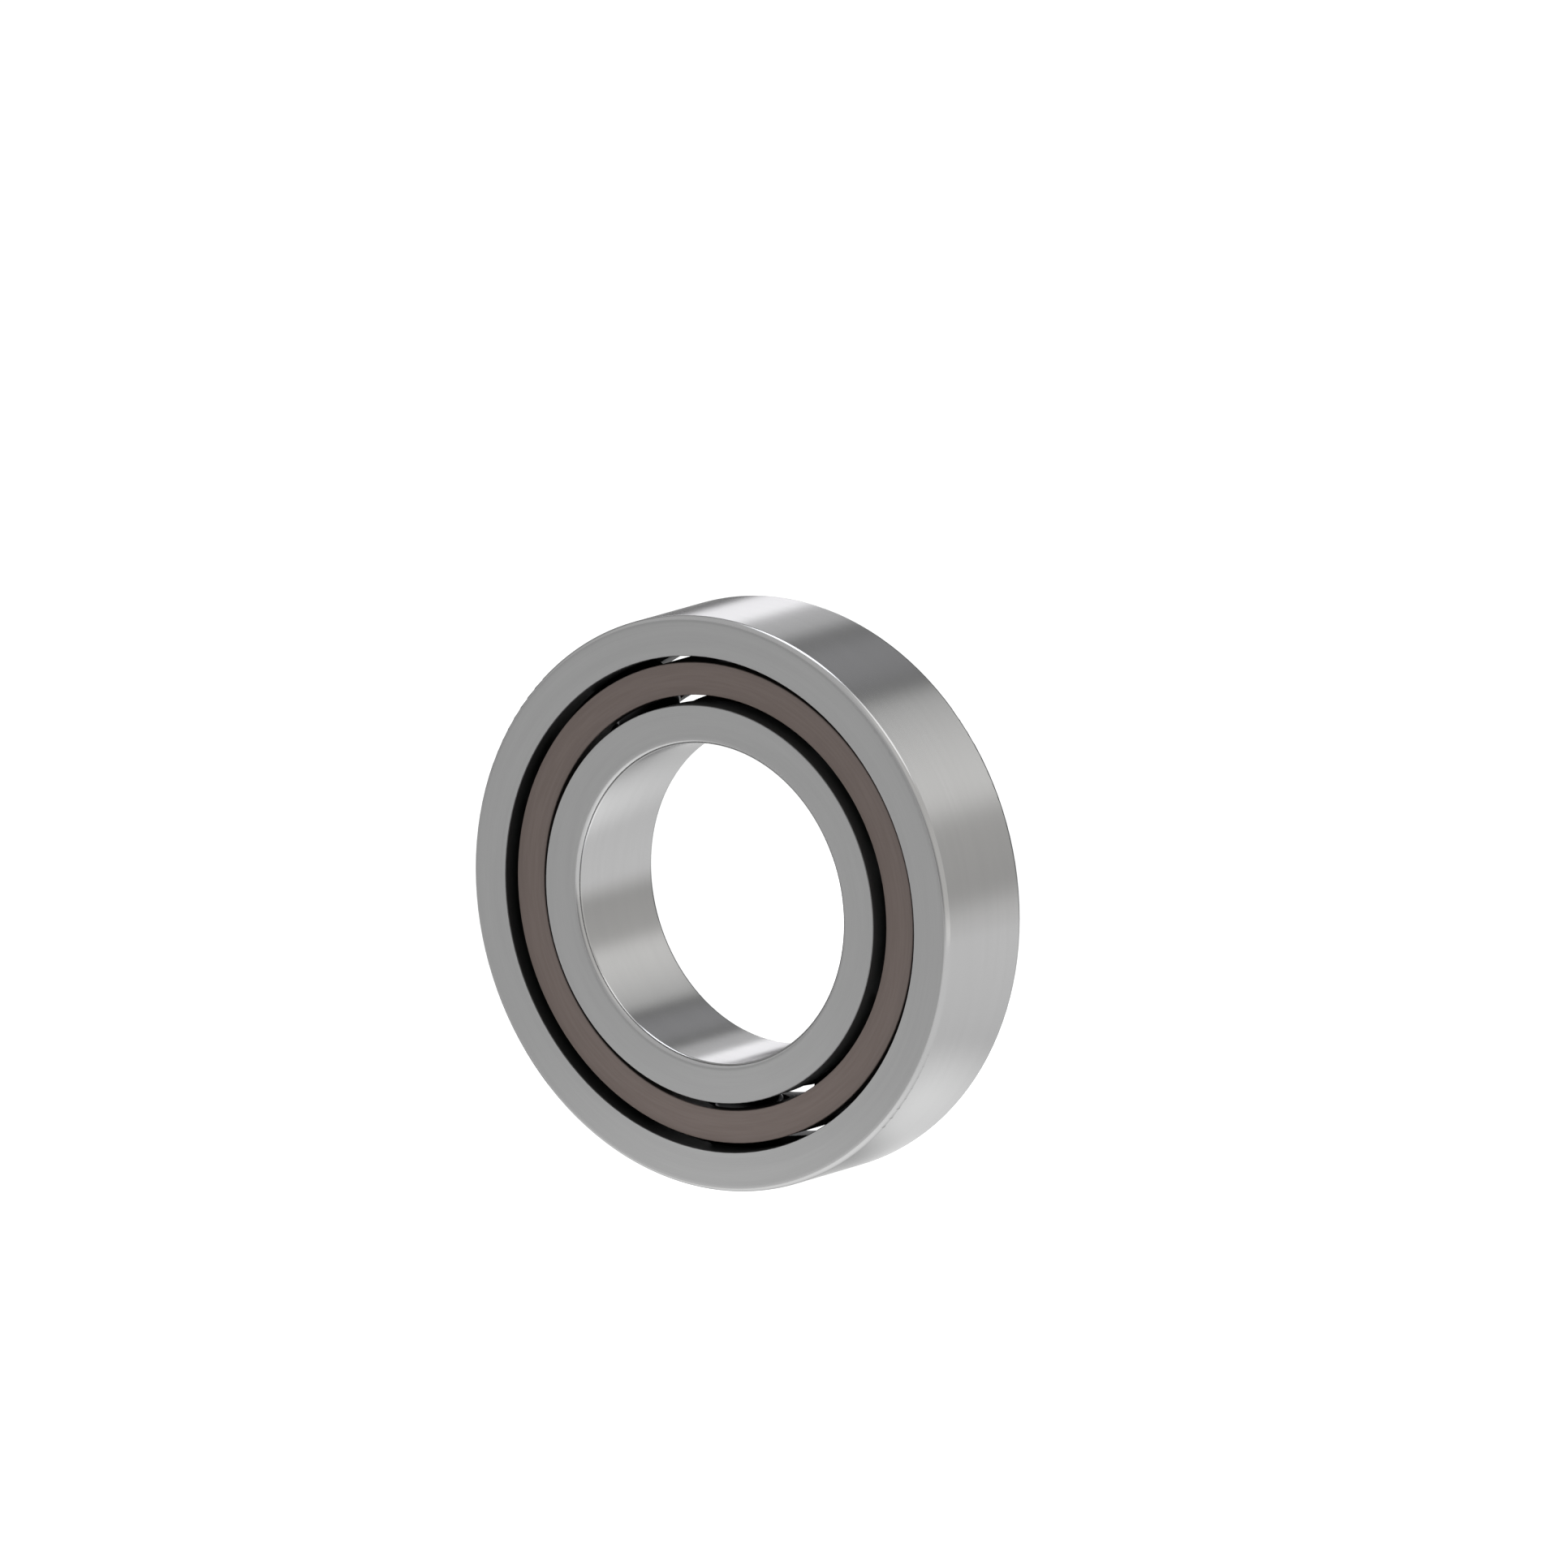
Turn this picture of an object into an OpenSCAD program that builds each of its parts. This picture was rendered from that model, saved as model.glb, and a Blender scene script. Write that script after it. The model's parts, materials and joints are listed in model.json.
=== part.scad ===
// Single-row angular contact ball bearing: two ground rings, ten balls and a one-piece
// machined window cage. The bearing's axis lies along Y, its front face looks to -Y and
// its centre is at the origin. Millimetres.

/* [Boundary] */
// Bore diameter, the seat for the shaft
bore_d = 50; // [46:0.5:52]
// Outside diameter, the seat in the housing
outside_d = 90; // [88:0.5:100]
// Width of both rings
ring_width = 20; // [18:0.5:26]
// Rounding where the two seats meet the side faces
corner_r = 1.1; // [0.3:0.1:2]

/* [Balls] */
// Number of balls
ball_count = 10; // [6:1:13]
// Ball diameter
ball_d = 12.7; // [11:0.1:13.5]
// Diameter of the circle that the ball centres lie on
pitch_d = 70; // [69:0.5:71]
// Angle of the first ball about the axis, from +X towards +Z
first_ball_angle = 17.9; // [0:0.1:60]

/* [Raceways] */
// Contact angle between the line through a ball's two contacts and the radial plane
contact_angle = 25; // [15, 25, 30, 40]
// Groove radius of the inner raceway as a share of the ball diameter
inner_conformity = 0.52; // [0.515:0.005:0.54]
// Groove radius of the outer raceway as a share of the ball diameter
outer_conformity = 0.53; // [0.515:0.005:0.54]
// Running gap between a ball and each raceway at the contacts
race_gap = 0.02; // [0.01:0.01:0.05]
// Diameter of the inner ring's two shoulders
inner_shoulder_d = 62.2; // [60:0.1:63.5]
// Diameter of the outer ring's two shoulders
outer_shoulder_d = 77.5; // [76.5:0.1:80]
// Edge break along the shoulders
shoulder_break = 0.1; // [0.05:0.05:0.4]

/* [Cage] */
// Bore of the cage
cage_bore_d = 64.9; // [64:0.1:67]
// Outside diameter of the cage
cage_outside_d = 75.1; // [73:0.1:75.5]
// Width of the cage along the axis
cage_width = 17; // [15.5:0.5:17.5]
// Gap between a ball and the wall of its pocket
pocket_gap = 0.25; // [0.1:0.05:0.4]
// Edge break around both faces of the cage
cage_break = 0.1; // [0.1:0.1:0.5]

/* [Hidden] */
ball_r = ball_d / 2;
pitch_r = pitch_d / 2;
ball_step = 360 / ball_count;
inner_groove_r = inner_conformity * ball_d;
outer_groove_r = outer_conformity * ball_d;
// How far each groove's centre stands off the ball's centre along the contact line
inner_offset = inner_groove_r - ball_r - race_gap;
outer_offset = outer_groove_r - ball_r - race_gap;
arc_steps = 180;

function ball_name(i) = str("ball_", i < 10 ? "0" : "", i);
function ball_angle(i) = first_ball_angle + (i - 1) * ball_step;

// Turns a section drawn as radius by length into a solid of revolution about Y
module turned() {
    rotate([-90, 0, 0]) rotate_extrude($fn = arc_steps) children();
}

// Sends one piece to a ball's place about the axis, with +X pointing outwards there
module at_angle(angle) {
    rotate([0, -angle, 0]) children();
}

// A band between two radii, centred on the middle plane
module band(low_r, high_r, length) {
    translate([low_r, -length / 2]) square([high_r - low_r, length]);
}

// What a rounding takes off a corner at the origin that points to +X and +Y
module rounding_cut(r) {
    difference() {
        translate([-r, -r]) square(2 * r);
        translate([-r, -r]) circle(r, $fn = arc_steps);
    }
}

// What an edge break takes off a corner at the origin that points to +X and +Y
module break_cut(b) {
    polygon([[-b, b], [-b, 0], [0, -b], [b, -b], [b, b]]);
}

// Places a corner cut at both ends of a section; side is 1 on an outer radius, -1 on an inner one
module both_ends(r, length, side) {
    for (end = [-1, 1])
        translate([r, end * length / 2]) scale([side, end]) children();
}

// The raceway groove; its centre lies on the contact line, beyond the ball's centre by offset
module groove(radius, offset) {
    translate([pitch_r + offset * cos(contact_angle), offset * sin(contact_angle)])
        circle(radius, $fn = arc_steps);
}

module outer_ring() {
    color("#a0a0a0") turned() difference() {
        band(outer_shoulder_d / 2, outside_d / 2, ring_width);
        groove(outer_groove_r, -outer_offset);
        both_ends(outside_d / 2, ring_width, 1) rounding_cut(corner_r);
        both_ends(outer_shoulder_d / 2, ring_width, -1) break_cut(shoulder_break);
    }
}

module inner_ring() {
    color("#a6a6a6") turned() difference() {
        band(bore_d / 2, inner_shoulder_d / 2, ring_width);
        groove(inner_groove_r, inner_offset);
        both_ends(bore_d / 2, ring_width, -1) rounding_cut(corner_r);
        both_ends(inner_shoulder_d / 2, ring_width, 1) break_cut(shoulder_break);
    }
}

// One solid hoop with a round window bored through it for each ball
module cage() {
    color("#6b6158") difference() {
        turned() difference() {
            band(cage_bore_d / 2, cage_outside_d / 2, cage_width);
            both_ends(cage_bore_d / 2, cage_width, -1) break_cut(cage_break);
            both_ends(cage_outside_d / 2, cage_width, 1) break_cut(cage_break);
        }
        for (i = [1:ball_count])
            at_angle(ball_angle(i))
                rotate([0, 90, 0]) cylinder(h = cage_outside_d, r = ball_r + pocket_gap, $fn = 96);
    }
}

module ball(i) {
    color("#d8dade") at_angle(ball_angle(i)) translate([pitch_r, 0, 0]) sphere(ball_r, $fn = 96);
}

outer_ring();
inner_ring();
cage();
for (i = [1:ball_count]) ball(i);
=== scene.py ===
"""Looks of an open single-row angular contact ball bearing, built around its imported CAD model.

Metres throughout, in the CAD's own frame: the bearing's axis is Y, its front face looks to -Y
and Z is up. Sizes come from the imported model, apart from the rings' corner rounding.
"""
import json
import math

import bpy
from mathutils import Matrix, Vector


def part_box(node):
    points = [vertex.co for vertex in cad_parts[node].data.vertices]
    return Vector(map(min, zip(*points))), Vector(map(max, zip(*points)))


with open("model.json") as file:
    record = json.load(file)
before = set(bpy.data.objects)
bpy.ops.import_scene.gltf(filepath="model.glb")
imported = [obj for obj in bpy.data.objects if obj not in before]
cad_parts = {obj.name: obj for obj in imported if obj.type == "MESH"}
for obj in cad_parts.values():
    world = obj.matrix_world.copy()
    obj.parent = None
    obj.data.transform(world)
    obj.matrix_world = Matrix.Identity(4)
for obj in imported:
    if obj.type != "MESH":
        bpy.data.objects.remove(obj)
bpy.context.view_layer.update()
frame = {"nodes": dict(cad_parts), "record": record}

nodes = frame["nodes"]

MM = 0.001

# ---------------------------------------------------------------- sizes
OUTER_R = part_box("outer_ring")[1].x
HALF_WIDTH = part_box("outer_ring")[1].y
INNER_SHOULDER_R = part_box("inner_ring")[1].x
CAGE_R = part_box("cage")[1].x
BORE_MOUNT = next(mount for mount in frame["record"]["mounts"] if mount["name"] == "bore")
BORE_R = BORE_MOUNT["dims"]["r_mm"] * MM
# The rounding where the outside and the bore meet the side faces
CORNER_R = 1.1 * MM
# Round surfaces this near to the outside or the bore are seats, and deeper ones face the balls
SEAT_DEPTH = 2.5 * MM

# ---------------------------------------------------------------- camera and studio
VIEW_AZIMUTH = math.radians(35.85)
VIEW_ELEVATION = math.radians(11.88)
LENS_MM = 1500.0
SENSOR_MM = 36.0
CLIP_NEAR, CLIP_FAR = 0.1, 100.0
# The frame's width and the bearing's place in it, as shares of the outside diameter
FRAME_WIDTH = 2.682 * 2 * OUTER_R
FRAME_RIGHT = 0.0629 * 2 * OUTER_R
FRAME_UP = 0.1874 * 2 * OUTER_R

FLOOR_R = 0.24
FLOOR_SIDES = 180
FLOOR_ROUGH = 0.9
FLOOR_SPECULAR = 0.1
# The floor gives its own light, so that it is as white as the backdrop and shows no shadow
FLOOR_GLOW = 1.04
FLOOR_TONE = 0.03
# A painted pool of light lies on it behind the bearing. POOL_WAY is the way that it runs, and
# distances along that way and across it are in metres from the spot below the bearing's centre
POOL_WAY = (-0.68, 0.73, 0.0)
POOL_ACROSS = (0.73, 0.68, 0.0)
# What the pool adds to the glow at its near end and at POOL_LENGTH
POOL_NEAR, POOL_FAR = 0.92, 0.46
POOL_LENGTH = 0.080
# The stretches over which it fades in along its way, and in and out across it
POOL_STARTS = (-0.025, -0.009)
POOL_RISES = (0.016, 0.030)
POOL_FALLS = (0.032, 0.068)
# What a painted pool of light on the floor close in front of the bearing adds to the glow, and
# where that fades out with the distance from the centre and with Y
FRONT_POOL = 0.34
FRONT_FADES = (0.028, 0.072)
FRONT_ENDS = (-0.012, 0.004)


def direction(x, y, z):
    return Vector((x, y, z)).normalized()


def grey(level):
    return (level, level, level, 1)


def make_camera():
    """A long lens from the front and the right, almost without perspective."""
    back = Vector((
        math.sin(VIEW_AZIMUTH) * math.cos(VIEW_ELEVATION),
        -math.cos(VIEW_AZIMUTH) * math.cos(VIEW_ELEVATION),
        math.sin(VIEW_ELEVATION),
    ))
    turn = (-back).to_track_quat("-Z", "Y")
    right, up = turn @ Vector((1, 0, 0)), turn @ Vector((0, 1, 0))
    data = bpy.data.cameras.new("camera")
    data.lens, data.sensor_width = LENS_MM, SENSOR_MM
    data.clip_start, data.clip_end = CLIP_NEAR, CLIP_FAR
    camera = bpy.data.objects.new("camera", data)
    camera.rotation_mode = "QUATERNION"
    camera.rotation_quaternion = turn
    distance = FRAME_WIDTH * LENS_MM / SENSOR_MM
    camera.location = right * FRAME_RIGHT + up * FRAME_UP + back * distance
    bpy.context.scene.collection.objects.link(camera)
    bpy.context.scene.camera = camera


class Graph:
    """A node tree with short calls for the nodes that materials and the world are made of."""

    def __init__(self, tree):
        self.tree = tree
        tree.nodes.clear()

    def node(self, kind, **settings):
        made = self.tree.nodes.new(kind)
        for name, value in settings.items():
            setattr(made, name, value)
        return made

    def feed(self, socket, value):
        """Links a socket, or sets a plain number or vector."""
        if isinstance(value, bpy.types.NodeSocket):
            self.tree.links.new(value, socket)
        else:
            socket.default_value = value

    def math(self, operation, *values):
        made = self.node("ShaderNodeMath", operation=operation)
        for socket, value in zip(made.inputs, values):
            self.feed(socket, value)
        return made.outputs[0]

    def vector_math(self, operation, *values):
        made = self.node("ShaderNodeVectorMath", operation=operation)
        for socket, value in zip(made.inputs, values):
            self.feed(socket, value)
        return made.outputs["Value" if operation in ("DOT_PRODUCT", "LENGTH") else "Vector"]

    def ramp(self, value, low, high, out_low=0.0, out_high=1.0):
        """A smooth step of a value from low to high."""
        made = self.node("ShaderNodeMapRange", interpolation_type="SMOOTHSTEP", clamp=True)
        for socket, given in zip(made.inputs, (value, low, high, out_low, out_high)):
            self.feed(socket, given)
        return made.outputs[0]

    def mix(self, share, one, other):
        made = self.node("ShaderNodeMix", data_type="FLOAT")
        self.feed(made.inputs[0], share)
        self.feed(made.inputs[2], one)
        self.feed(made.inputs[3], other)
        return made.outputs[0]

    def joined(self, value):
        """One number in all three places of a vector."""
        made = self.node("ShaderNodeCombineXYZ")
        for socket in made.inputs:
            self.feed(socket, value)
        return made.outputs[0]

    def mix_colour(self, share, one, other):
        made = self.node("ShaderNodeMix", data_type="RGBA")
        self.feed(made.inputs[0], share)
        self.feed(made.inputs[6], one)
        self.feed(made.inputs[7], other)
        return made.outputs[2]


# Soft boxes round the bearing: (direction, half angle, edge width in degrees, colour)
SOFT_BOXES = [
    (direction(0.28, 0.87, 0.40), 13.5, 5.5, (0.58, 0.58, 0.57)),
    (direction(-0.569, 0.79, 0.217), 4.5, 5.0, (2.65, 2.62, 2.70)),
    (direction(-0.46, 0.79, 0.40), 5.0, 5.0, (0.80, 0.80, 0.81)),
    (direction(-0.12, 0.79, 0.60), 3.0, 8.0, (0.16, 0.16, 0.17)),
    (direction(-0.15, 0.45, 0.88), 11.0, 8.0, (2.50, 2.55, 2.70)),
    (direction(0.46, 0.45, 0.77), 11.0, 8.0, (1.14, 1.14, 1.15)),
    (direction(0.95, 0.10, 0.30), 30.0, 40.0, (0.59, 0.58, 0.56)),
    (direction(-0.55, -0.45, 0.70), 40.0, 50.0, (0.50, 0.50, 0.50)),
]
DOME_LEVEL = 0.26
BELOW_LEVEL = 0.76
# The heights, as Z of a direction, between which the light from below gives way to the dome
HORIZON = (-0.19, -0.02)
BACKDROP = grey(1.1)


def make_world():
    """A dim even dome with soft boxes in it, in front of a white backdrop."""
    world = bpy.data.worlds.new("studio")
    bpy.context.scene.world = world
    world.use_nodes = True
    g = Graph(world.node_tree)
    way = g.node("ShaderNodeTexCoord").outputs["Generated"]
    split = g.node("ShaderNodeSeparateXYZ")
    g.feed(split.inputs[0], way)
    light = g.ramp(split.outputs["Z"], *HORIZON, BELOW_LEVEL, DOME_LEVEL)
    for towards, half, edge, colour in SOFT_BOXES:
        near = g.vector_math("DOT_PRODUCT", way, towards)
        outer_edge, inner_edge = math.radians(half + edge), math.radians(half)
        share = g.ramp(near, math.cos(outer_edge), math.cos(inner_edge))
        light = g.vector_math("MULTIPLY_ADD", share, colour, light)
    seen = g.node("ShaderNodeLightPath").outputs["Is Camera Ray"]
    background = g.node("ShaderNodeBackground")
    g.feed(background.inputs["Color"], g.mix_colour(seen, light, BACKDROP))
    g.feed(g.node("ShaderNodeOutputWorld").inputs["Surface"], background.outputs[0])


def make_floor():
    """A round white table top that the bearing stands on. It glows evenly, with painted pools of
    light behind the bearing and close in front of it.
    """
    mesh = bpy.data.meshes.new("floor")
    turns = [2 * math.pi * i / FLOOR_SIDES for i in range(FLOOR_SIDES)]
    rim = [(FLOOR_R * math.cos(a), FLOOR_R * math.sin(a), -OUTER_R) for a in turns]
    mesh.from_pydata(rim, [], [list(range(FLOOR_SIDES))])
    floor = bpy.data.objects.new("floor", mesh)
    bpy.context.scene.collection.objects.link(floor)
    material = bpy.data.materials.new("floor_white")
    material.use_nodes = True
    g = Graph(material.node_tree)
    shader = g.node("ShaderNodeBsdfPrincipled")
    shader.inputs["Base Color"].default_value = grey(FLOOR_TONE)
    shader.inputs["Roughness"].default_value = FLOOR_ROUGH
    shader.inputs["Specular IOR Level"].default_value = FLOOR_SPECULAR
    shader.inputs["Emission Color"].default_value = (1, 1, 1, 1)
    spot = g.node("ShaderNodeTexCoord").outputs["Object"]
    across = g.vector_math("DOT_PRODUCT", spot, POOL_ACROSS)
    along = g.vector_math("DOT_PRODUCT", spot, POOL_WAY)
    # Painted pool of light behind the bearing, added to the floor's glow
    pool = g.math("MULTIPLY",
                  g.ramp(across, *POOL_RISES), g.ramp(across, *POOL_FALLS, 1.0, 0.0))
    level = g.math("MULTIPLY",
                   g.ramp(along, 0.0, POOL_LENGTH, POOL_NEAR, POOL_FAR),
                   g.ramp(along, *POOL_STARTS))
    glow = g.math("MULTIPLY_ADD", pool, level, FLOOR_GLOW)
    split = g.node("ShaderNodeSeparateXYZ")
    g.feed(split.inputs[0], spot)
    # Painted pool of light close in front of the bearing, added to the floor's glow
    in_plan = g.vector_math("MULTIPLY", spot, (1, 1, 0))
    close = g.ramp(g.vector_math("LENGTH", in_plan), *FRONT_FADES, FRONT_POOL, 0.0)
    front = g.ramp(split.outputs["Y"], *FRONT_ENDS, 1.0, 0.0)
    g.feed(shader.inputs["Emission Strength"], g.math("MULTIPLY_ADD", close, front, glow))
    g.feed(g.node("ShaderNodeOutputMaterial").inputs["Surface"], shader.outputs[0])
    mesh.materials.append(material)


# ---------------------------------------------------------------- materials
def new_material(name):
    material = bpy.data.materials.new(name)
    material.use_nodes = True
    return material, Graph(material.node_tree)


def place_nodes(g):
    """Where a point lies on a turned piece, in the object's space.

    Gives the coordinates node, the radius from the axis, the place along it, the cosine and
    sine of the angle about it, and how far the mesh's normal is end on, from 0 to 1.
    """
    coords = g.node("ShaderNodeTexCoord")
    split = g.node("ShaderNodeSeparateXYZ")
    g.feed(split.inputs[0], coords.outputs["Object"])
    x, y, z = split.outputs
    radius = g.math("SQRT", g.math("ADD", g.math("MULTIPLY", x, x), g.math("MULTIPLY", z, z)))
    normal = g.node("ShaderNodeSeparateXYZ")
    g.feed(normal.inputs[0], coords.outputs["Normal"])
    return {
        "coords": coords, "radius": radius, "along": y,
        "cos": g.math("DIVIDE", x, radius), "sin": g.math("DIVIDE", z, radius),
        "end_on": g.math("ABSOLUTE", normal.outputs["Y"]),
    }


def turned_normal(g, place, corner_r, outward):
    """The normal of a turned surface, true to the circle and round its end corners.

    It does without the slant of the mesh's flats. corner_r is the radius at which the corners'
    centres lie, and outward is 1 where the corners face away from the axis and -1 where they
    face it. Returns the normal in the object's space and in the world's.
    """
    mesh_normal = place["coords"].outputs["Normal"]
    axis_out = g.node("ShaderNodeCombineXYZ")
    g.feed(axis_out.inputs[0], place["cos"])
    g.feed(axis_out.inputs[2], place["sin"])
    axis_out = axis_out.outputs[0]
    mesh_out = g.vector_math("DOT_PRODUCT", mesh_normal, axis_out)
    mesh_along = g.vector_math("DOT_PRODUCT", mesh_normal, (0, 1, 0))
    past_radius = g.math("MULTIPLY", g.math("SUBTRACT", place["radius"], corner_r), outward)
    past_end = g.math("SUBTRACT", g.math("ABSOLUTE", place["along"]), HALF_WIDTH - CORNER_R)
    corner = g.math("MULTIPLY", g.math("GREATER_THAN", past_radius, 0.0),
                    g.math("GREATER_THAN", past_end, 0.0))
    corner_out = g.math("MULTIPLY", past_radius, outward)
    corner_along = g.math("MULTIPLY", past_end, g.math("SIGN", place["along"]))
    out = g.mix(corner, mesh_out, corner_out)
    along = g.mix(corner, mesh_along, corner_along)
    along_axis = g.vector_math("MULTIPLY", (0, 1, 0), g.joined(along))
    normal = g.vector_math("MULTIPLY_ADD", axis_out, g.joined(out), along_axis)
    normal = g.vector_math("NORMALIZE", normal)
    turned = g.node("ShaderNodeVectorTransform", vector_type="NORMAL",
                    convert_from="OBJECT", convert_to="WORLD")
    g.feed(turned.inputs[0], normal)
    return normal, turned.outputs[0]


def turned_noise(g, place, pitch, around, detail=2.0):
    """Noise drawn out round the axis: fine across the lay, long along it."""
    spot = g.node("ShaderNodeCombineXYZ")
    g.feed(spot.inputs[0], g.math("MULTIPLY", place["radius"], 1.0 / pitch))
    g.feed(spot.inputs[1], g.math("MULTIPLY", place["cos"], around))
    g.feed(spot.inputs[2], g.math("MULTIPLY", place["sin"], around))
    noise = g.node("ShaderNodeTexNoise", noise_dimensions="4D")
    g.feed(noise.inputs["Vector"], spot.outputs[0])
    g.feed(noise.inputs["W"], g.math("MULTIPLY", place["along"], 1.0 / pitch))
    noise.inputs["Scale"].default_value = 1.0
    noise.inputs["Detail"].default_value = detail
    return noise.outputs[0]


# ---------------------------------------------------------------- steel
FACE_TONE, SEAT_TONE = 0.36, 0.45
# Painted shade: dark tones of the raceways and shoulders, standing in for the shade deep in the
# gaps
OUTER_INSIDE_SHADE, INNER_INSIDE_SHADE = 0.09, 0.17
# How bright all steel is at a grazing angle
EDGE_TINT = grey(0.50)
FACE_ROUGH, SEAT_ROUGH = 0.58, 0.18
# What raceways and shoulders add to the roughness of a seat
INSIDE_ROUGH = 0.29
# How much of the normal lies along the axis where a corner turns into a side face
FACE_STARTS = (0.80, 0.95)
# The range of a noise that is put to use
NOISE_SPAN = (0.3, 0.7)
PATCH_SPAN = (0.35, 0.65)
# The lay left by grinding: its pitch, how broken it is round the axis, and how deep
LAY_PITCH, LAY_AROUND = 0.09 * MM, 3.0
LAY_ROUGH = 0.02
LAY_DEPTH, LAY_STRENGTH = 0.002 * MM, 0.10
# Faint lighter patches, and the most that they take of the tone
PATCH_PITCH, PATCH_AROUND = 1.4 * MM, 1.2
PATCH_TONE, PATCH_SHARE = 0.60, 0.05


def ring_steel(name, corner_r, outward, inside_low, inside_high, inside_shade):
    """Ground bearing steel: satin side faces, brighter seats, and raceways and shoulders
    darkened with painted shade.

    corner_r and outward are those of turned_normal. inside_low and inside_high are the radii
    between which a round surface faces the balls.
    """
    material, g = new_material(name)
    place = place_nodes(g)
    lay = turned_noise(g, place, LAY_PITCH, LAY_AROUND)
    patches = turned_noise(g, place, PATCH_PITCH, PATCH_AROUND, detail=4.0)
    own_normal, normal = turned_normal(g, place, corner_r, outward)
    end_on = g.math("ABSOLUTE", g.vector_math("DOT_PRODUCT", own_normal, (0, 1, 0)))
    face = g.ramp(end_on, *FACE_STARTS)
    inside = g.math("MULTIPLY",
                    g.math("GREATER_THAN", place["radius"], inside_low),
                    g.math("LESS_THAN", place["radius"], inside_high))
    inside = g.math("MULTIPLY", inside, g.math("SUBTRACT", 1.0, face))
    tone = g.mix_colour(face, grey(SEAT_TONE), grey(FACE_TONE))
    patch_share = g.ramp(patches, *PATCH_SPAN, 0.0, PATCH_SHARE)
    tone = g.mix_colour(patch_share, tone, grey(PATCH_TONE))
    # Painted shade: the raceways and shoulders take the dark inside tone
    tone = g.mix_colour(inside, tone, grey(inside_shade))
    rough = g.math("ADD", g.ramp(face, 0.0, 1.0, SEAT_ROUGH, FACE_ROUGH),
                   g.ramp(lay, *NOISE_SPAN, -LAY_ROUGH, LAY_ROUGH))
    rough = g.math("ADD", rough, g.ramp(inside, 0.0, 1.0, 0.0, INSIDE_ROUGH))
    shader = g.node("ShaderNodeBsdfPrincipled")
    shader.inputs["Metallic"].default_value = 1.0
    shader.inputs["Specular Tint"].default_value = EDGE_TINT
    g.feed(shader.inputs["Base Color"], tone)
    g.feed(shader.inputs["Roughness"], rough)
    bump = g.node("ShaderNodeBump")
    bump.inputs["Strength"].default_value = LAY_STRENGTH
    bump.inputs["Distance"].default_value = LAY_DEPTH
    g.feed(bump.inputs["Height"], lay)
    g.feed(bump.inputs["Normal"], normal)
    g.feed(shader.inputs["Normal"], bump.outputs[0])
    g.feed(g.node("ShaderNodeOutputMaterial").inputs["Surface"], shader.outputs[0])
    return material


# The balls' two tones, kept dark as painted shade for the balls deep between the rings, the
# haze's scale and detail, and the roughness that it spans
BALL_SHADED_LOW, BALL_SHADED_HIGH = (0.10, 0.10, 0.105, 1), (0.12, 0.12, 0.125, 1)
HAZE_SCALE, HAZE_DETAIL = 900.0, 3.0
BALL_ROUGH = (0.11, 0.15)


def ball_steel():
    """Lapped and polished bearing steel with a faint haze, in a tone darkened as painted shade
    for the balls deep between the rings.
    """
    material, g = new_material("ball_steel")
    coords = g.node("ShaderNodeTexCoord")
    noise = g.node("ShaderNodeTexNoise")
    g.feed(noise.inputs["Vector"], coords.outputs["Object"])
    noise.inputs["Scale"].default_value = HAZE_SCALE
    noise.inputs["Detail"].default_value = HAZE_DETAIL
    shader = g.node("ShaderNodeBsdfPrincipled")
    shader.inputs["Metallic"].default_value = 1.0
    shader.inputs["Specular Tint"].default_value = EDGE_TINT
    # Painted shade: both haze tones are kept dark
    g.feed(shader.inputs["Base Color"], g.mix_colour(noise.outputs[0], BALL_SHADED_LOW, BALL_SHADED_HIGH))
    g.feed(shader.inputs["Roughness"], g.ramp(noise.outputs[0], *NOISE_SPAN, *BALL_ROUGH))
    g.feed(g.node("ShaderNodeOutputMaterial").inputs["Surface"], shader.outputs[0])
    return material


# ---------------------------------------------------------------- cage
PLY_DARK, PLY_LIGHT = (0.136, 0.107, 0.096, 1), (0.147, 0.116, 0.105, 1)
PLY_PITCH, PLY_AROUND = 0.35 * MM, 5.0
PLY_DEPTH, PLY_STRENGTH = 0.01 * MM, 0.2
# The roughness of the dark plies and of the light ones
PLY_ROUGH = (0.62, 0.54)
RESIN_SPECULAR = 0.35
# Broad warmer clouds in the resin, and the most that they take of the tone
CLOUD_TONE, CLOUD_SHARE = (0.158, 0.122, 0.106, 1), 0.12
CLOUD_PITCH, CLOUD_AROUND = 3.0 * MM, 1.0
# Painted shade: the round walls and the windows are made nearly black, for the shade deep in the
# bearing, and give way to the faces where the normal turns end on
WALL_PAINTED_SHADE = (0.020, 0.017, 0.015, 1)
WALL_ENDS = (0.3, 0.9)


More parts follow.
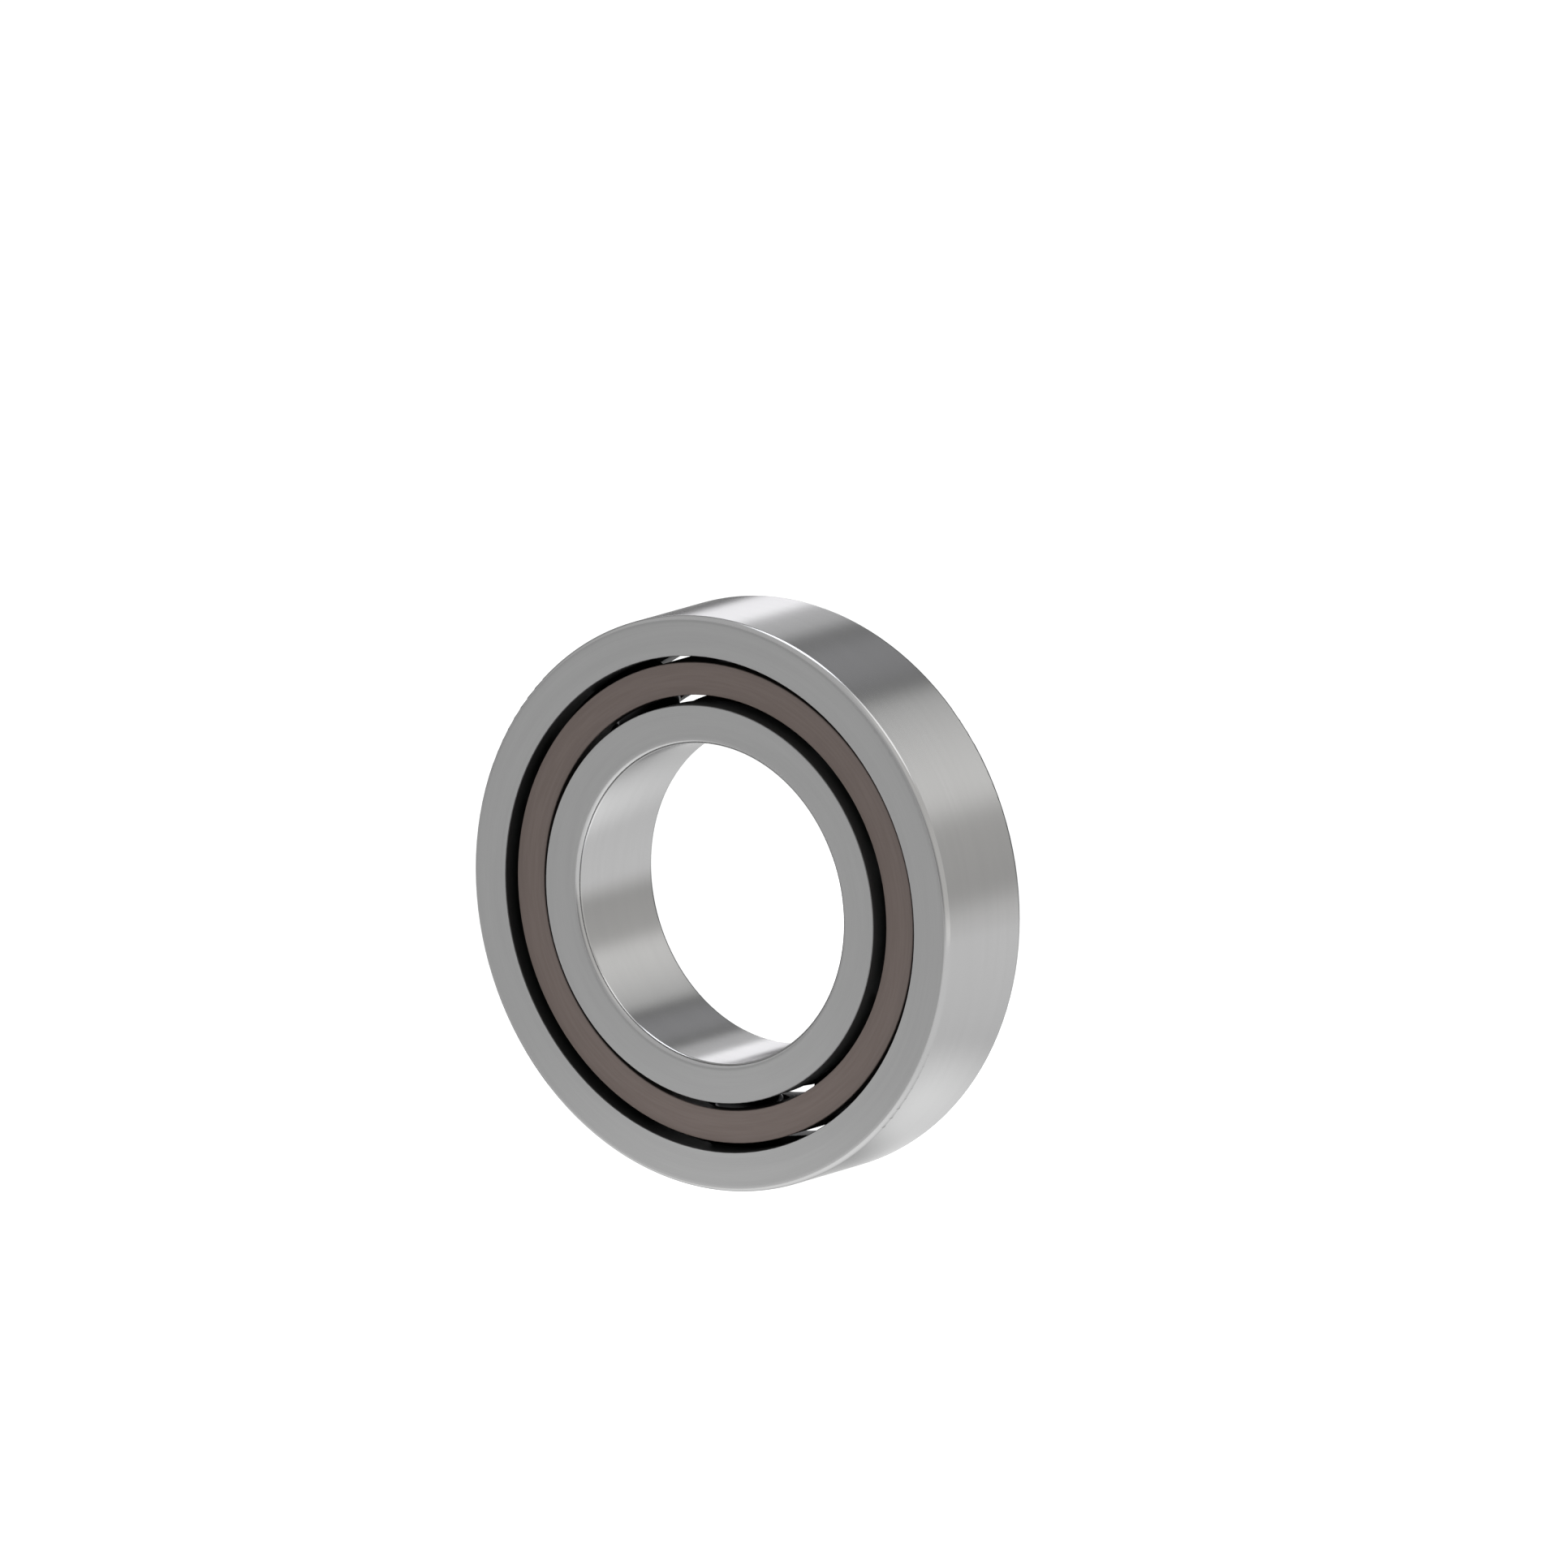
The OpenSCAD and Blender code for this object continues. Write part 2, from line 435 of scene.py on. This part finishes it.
def phenolic():
    """Machined fabric-reinforced phenolic resin: fine plies on its faces, painted shade on its
    round walls.
    """
    material, g = new_material("phenolic")
    place = place_nodes(g)
    plies = turned_noise(g, place, PLY_PITCH, PLY_AROUND, detail=1.0)
    clouds = turned_noise(g, place, CLOUD_PITCH, CLOUD_AROUND, detail=3.0)
    tone = g.mix_colour(g.ramp(plies, *NOISE_SPAN), PLY_DARK, PLY_LIGHT)
    tone = g.mix_colour(g.ramp(clouds, *NOISE_SPAN, 0.0, CLOUD_SHARE), tone, CLOUD_TONE)
    # Painted shade: the round walls turn nearly black
    tone = g.mix_colour(g.ramp(place["end_on"], *WALL_ENDS, 1.0, 0.0), tone, WALL_PAINTED_SHADE)
    shader = g.node("ShaderNodeBsdfPrincipled")
    g.feed(shader.inputs["Base Color"], tone)
    g.feed(shader.inputs["Roughness"], g.ramp(plies, *NOISE_SPAN, *PLY_ROUGH))
    shader.inputs["Specular IOR Level"].default_value = RESIN_SPECULAR
    bump = g.node("ShaderNodeBump")
    bump.inputs["Strength"].default_value = PLY_STRENGTH
    bump.inputs["Distance"].default_value = PLY_DEPTH
    g.feed(bump.inputs["Height"], plies)
    g.feed(shader.inputs["Normal"], bump.outputs[0])
    g.feed(g.node("ShaderNodeOutputMaterial").inputs["Surface"], shader.outputs[0])
    return material


def dress(node, material):
    """Gives a CAD node one material in every slot."""
    data = nodes[node].data
    if not data.materials:
        data.materials.append(material)
    for slot in range(len(data.materials)):
        data.materials[slot] = material


make_camera()
make_world()
make_floor()
bpy.context.scene.view_settings.view_transform = "Standard"

# A radius in the cage, past every surface of the inner ring
past_inner_ring = (INNER_SHOULDER_R + CAGE_R) / 2
dress("outer_ring", ring_steel("outer_ring_steel", OUTER_R - CORNER_R, 1.0,
                               0.0, OUTER_R - SEAT_DEPTH, OUTER_INSIDE_SHADE))
dress("inner_ring", ring_steel("inner_ring_steel", BORE_R + CORNER_R, -1.0,
                               BORE_R + SEAT_DEPTH, past_inner_ring, INNER_INSIDE_SHADE))
dress("cage", phenolic())
polished = ball_steel()
for name in sorted(n for n in nodes if n.startswith("ball_")):
    dress(name, polished)
